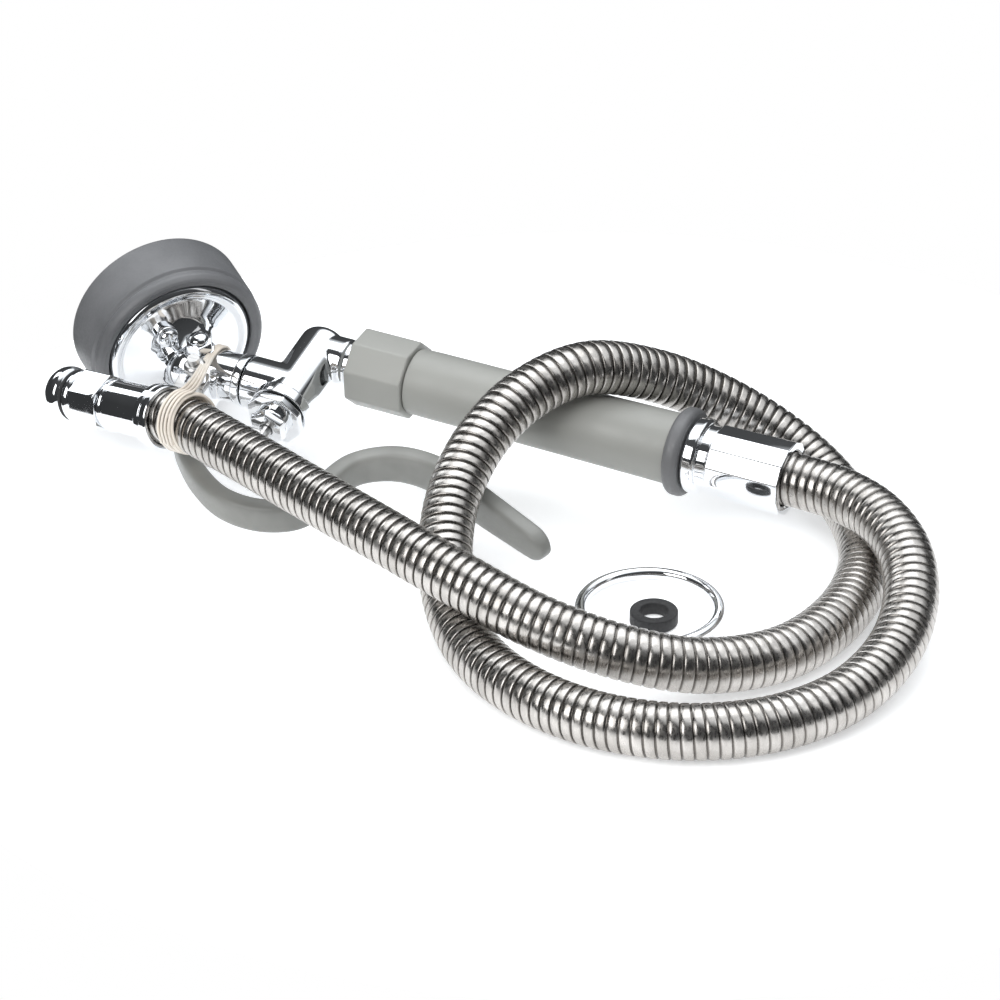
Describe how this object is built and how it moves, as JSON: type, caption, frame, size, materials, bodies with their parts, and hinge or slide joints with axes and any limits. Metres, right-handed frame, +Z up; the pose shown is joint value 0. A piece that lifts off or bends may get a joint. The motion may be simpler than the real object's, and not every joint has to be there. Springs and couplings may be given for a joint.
{
  "type": "pre-rinse spray valve with hose",
  "caption": "Hand spray valve with squeeze lever, grey hand grip and coiled armoured steel hose, with its loose hold-down ring and hose washer.",
  "frame": {"origin": "on the table under the centre of the box of the valve, grip, lever, loose ring and washer", "axes": "+X along the hand grip towards the hose, +Z up from the table, +Y away from the lever"},
  "size_m": [0.3654, 0.2039, 0.0716],
  "materials": {
    "chrome": "bright chrome plate",
    "steel": "satin stainless steel",
    "hose_steel": "polished strip-wound stainless steel",
    "brass": "machined brass",
    "bumper_rubber": "blue-grey satin rubber",
    "ring_rubber": "dark grey satin rubber",
    "black_rubber": "black matte rubber",
    "grip_plastic": "warm grey moulded plastic",
    "lever_coat": "grey dipped vinyl coating",
    "band_rubber": "pale natural rubber"
  },
  "bodies": {
    "valve": {"spray_head": "chrome", "hub_plug": "chrome", "dish_screw_1": "chrome", "dish_screw_2": "chrome", "face_gasket": "black_rubber", "spray_plate": "steel", "bumper": "bumper_rubber", "valve_body": "chrome", "bonnet_gasket": "black_rubber", "bonnet": "chrome", "stem_o_ring": "black_rubber", "packing_nut": "chrome", "return_spring": "steel", "pivot_pin": "steel", "pin_clip": "steel", "coupling_washer": "black_rubber", "handle_tube": "steel", "grip_sleeve": "grip_plastic", "end_ring": "ring_rubber", "flange_ring": "chrome", "hose_ferrule": "chrome", "hose": "hose_steel", "crimp_ring": "chrome", "inlet_ferrule": "chrome", "rubber_band": "band_rubber"},
    "lever": {"lever_fork": "steel", "lever_grip": "lever_coat"},
    "plunger": {"valve_stem": "steel", "seat_washer": "black_rubber", "seat_screw": "brass", "stem_button": "chrome"},
    "collar": {"grip_collar": "grip_plastic"},
    "inlet_swivel": {"inlet_hex": "chrome", "inlet_nipple": "chrome", "inlet_o_ring": "black_rubber"},
    "hold_ring": {"hold_down_ring": "chrome"},
    "loose_washer": {"hose_washer": "black_rubber"}
  },
  "joints": [
    {"name": "lever_pivot", "type": "hinge", "parent": "valve", "child": "lever", "pos_m": [-0.08299, -0.00413, 0.02744], "axis": [0.0236, -0.2588, 0.9656], "range_deg": [0, 9.5], "stiffness_Nm_per_rad": 3},
    {"name": "stem_push", "type": "slide", "parent": "valve", "child": "plunger", "axis": [0.0063, 0.9659, 0.2587], "range_m": [0, 0.0054], "deforming": ["return_spring"]},
    {"name": "collar_turn", "type": "hinge", "parent": "valve", "child": "collar", "pos_m": [-0.02178, 0.03064, 0.03526], "axis": [0.9997, 0, -0.0244], "continuous": true},
    {"name": "inlet_turn", "type": "hinge", "parent": "valve", "child": "inlet_swivel", "pos_m": [-0.11752, -0.03001, 0.03163], "axis": [-0.9435, 0.2787, -0.1792], "continuous": true},
    {"name": "ring_lift", "type": "slide", "parent": "valve", "child": "hold_ring", "axis": [0, 0, 1], "range_m": [0, 0.06]},
    {"name": "washer_lift", "type": "slide", "parent": "valve", "child": "loose_washer", "axis": [0, 0, 1], "range_m": [0, 0.06]}
  ],
  "couplings": [
    {"joint": "stem_push", "follows": "lever_pivot", "m_per_rad": 0.031}
  ]
}
